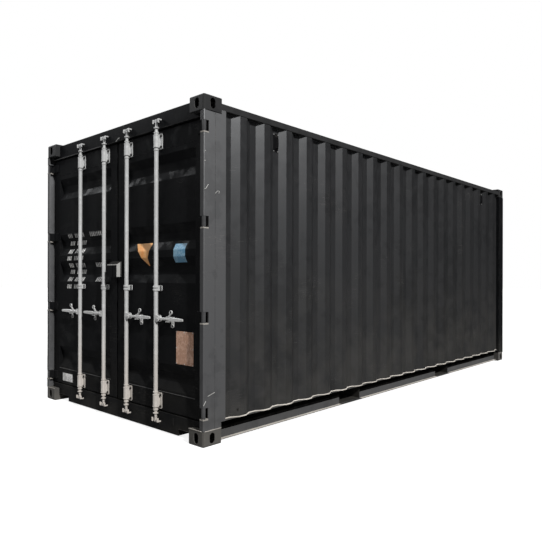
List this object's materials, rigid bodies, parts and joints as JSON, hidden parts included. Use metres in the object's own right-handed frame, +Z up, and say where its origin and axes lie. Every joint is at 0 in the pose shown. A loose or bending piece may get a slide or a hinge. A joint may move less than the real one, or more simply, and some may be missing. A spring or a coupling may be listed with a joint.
{
  "type": "20 ft dry freight shipping container",
  "caption": "Steel freight container with corrugated walls, corner castings, fork pockets, plywood floor and a pair of hinged end doors with turning locking bars and handles.",
  "frame": {"origin": "middle of the footprint, level with the feet of the bottom corner castings", "axes": "+Z up, length along Y with the doors at -Y, +X to the right for someone facing the doors"},
  "size_m": [2.438, 6.058, 2.591],
  "materials": {
    "painted_steel": "satin black paint, lightly worn",
    "painted_sheet": "satin black paint on folded sheet",
    "door_steel": "satin black paint",
    "underside_steel": "matt dark undercoat",
    "galvanised_steel": "galvanised, weathered",
    "gasket_rubber": "matt black",
    "floor_plywood": "sealed marine plywood, scuffed",
    "vent_plastic": "matt black plastic"
  },
  "bodies": {
    "container": {"top_castings": "painted_steel", "bottom_castings": "painted_steel", "rear_posts": "painted_steel", "front_posts": "painted_steel", "hinge_pins": "painted_steel", "door_header": "painted_steel", "door_sill": "painted_steel", "top_side_rails": "painted_steel", "bottom_side_rails": "painted_steel", "rail_bridges": "painted_steel", "front_rails": "painted_steel", "side_walls": "painted_sheet", "front_wall": "painted_sheet", "roof_panel": "painted_sheet", "corner_plates": "painted_steel", "cross_members": "underside_steel", "pocket_sides": "underside_steel", "pocket_plates": "underside_steel", "plank_floor": "floor_plywood", "ventilators": "vent_plastic", "cam_keepers": "galvanised_steel"},
    "left_door": {"left_door_frame": "door_steel", "left_door_panel": "door_steel", "left_door_gasket": "gasket_rubber", "left_bar_guides": "galvanised_steel", "left_handle_rests": "galvanised_steel", "left_lock_box": "door_steel"},
    "left_inner_bar": {"left_inner_locking_bar": "galvanised_steel"},
    "left_inner_handle": {"left_inner_lock_handle": "galvanised_steel"},
    "left_inner_catch": {"left_inner_handle_catch": "galvanised_steel"},
    "left_outer_bar": {"left_outer_locking_bar": "galvanised_steel"},
    "left_outer_handle": {"left_outer_lock_handle": "galvanised_steel"},
    "left_outer_catch": {"left_outer_handle_catch": "galvanised_steel"},
    "right_door": {"right_door_frame": "door_steel", "right_door_panel": "door_steel", "right_door_gasket": "gasket_rubber", "right_bar_guides": "galvanised_steel", "right_handle_rests": "galvanised_steel", "right_lock_box": "door_steel"},
    "right_inner_bar": {"right_inner_locking_bar": "galvanised_steel"},
    "right_inner_handle": {"right_inner_lock_handle": "galvanised_steel"},
    "right_inner_catch": {"right_inner_handle_catch": "galvanised_steel"},
    "right_outer_bar": {"right_outer_locking_bar": "galvanised_steel"},
    "right_outer_handle": {"right_outer_lock_handle": "galvanised_steel"},
    "right_outer_catch": {"right_outer_handle_catch": "galvanised_steel"}
  },
  "joints": [
    {"name": "left_door_hinge", "type": "hinge", "parent": "container", "child": "left_door", "pos_m": [-1.204, -3.014, 1.3], "axis": [0, 0, -1], "range_deg": [0, 260]},
    {"name": "left_inner_bar_turn", "type": "hinge", "parent": "left_door", "child": "left_inner_bar", "pos_m": [-0.182, -2.999, 1.3], "axis": [0, 0, -1], "range_deg": [-110, 0]},
    {"name": "left_inner_handle_lift", "type": "hinge", "parent": "left_inner_bar", "child": "left_inner_handle", "pos_m": [-0.222, -2.999, 0.915], "axis": [0, -1, 0], "range_deg": [-35, 0]},
    {"name": "left_inner_catch_swing", "type": "hinge", "parent": "left_door", "child": "left_inner_catch", "pos_m": [-0.302, -2.991, 0.915], "axis": [0, -1, 0], "range_deg": [-90, 0]},
    {"name": "left_outer_bar_turn", "type": "hinge", "parent": "left_door", "child": "left_outer_bar", "pos_m": [-0.60405, -2.999, 1.3], "axis": [0, 0, -1], "range_deg": [-110, 0]},
    {"name": "left_outer_handle_lift", "type": "hinge", "parent": "left_outer_bar", "child": "left_outer_handle", "pos_m": [-0.64405, -2.999, 0.915], "axis": [0, -1, 0], "range_deg": [-35, 0]},
    {"name": "left_outer_catch_swing", "type": "hinge", "parent": "left_door", "child": "left_outer_catch", "pos_m": [-0.72405, -2.991, 0.915], "axis": [0, -1, 0], "range_deg": [-90, 0]},
    {"name": "right_door_hinge", "type": "hinge", "parent": "container", "child": "right_door", "pos_m": [1.204, -3.014, 1.3], "axis": [0, 0, 1], "range_deg": [0, 260]},
    {"name": "right_inner_bar_turn", "type": "hinge", "parent": "right_door", "child": "right_inner_bar", "pos_m": [0.182, -2.999, 1.3], "axis": [0, 0, 1], "range_deg": [-110, 0]},
    {"name": "right_inner_handle_lift", "type": "hinge", "parent": "right_inner_bar", "child": "right_inner_handle", "pos_m": [0.222, -2.999, 0.915], "axis": [0, 1, 0], "range_deg": [-35, 0]},
    {"name": "right_inner_catch_swing", "type": "hinge", "parent": "right_door", "child": "right_inner_catch", "pos_m": [0.302, -2.991, 0.915], "axis": [0, 1, 0], "range_deg": [-90, 0]},
    {"name": "right_outer_bar_turn", "type": "hinge", "parent": "right_door", "child": "right_outer_bar", "pos_m": [0.60405, -2.999, 1.3], "axis": [0, 0, 1], "range_deg": [-110, 0]},
    {"name": "right_outer_handle_lift", "type": "hinge", "parent": "right_outer_bar", "child": "right_outer_handle", "pos_m": [0.64405, -2.999, 0.915], "axis": [0, 1, 0], "range_deg": [-35, 0]},
    {"name": "right_outer_catch_swing", "type": "hinge", "parent": "right_door", "child": "right_outer_catch", "pos_m": [0.72405, -2.991, 0.915], "axis": [0, 1, 0], "range_deg": [-90, 0]}
  ]
}
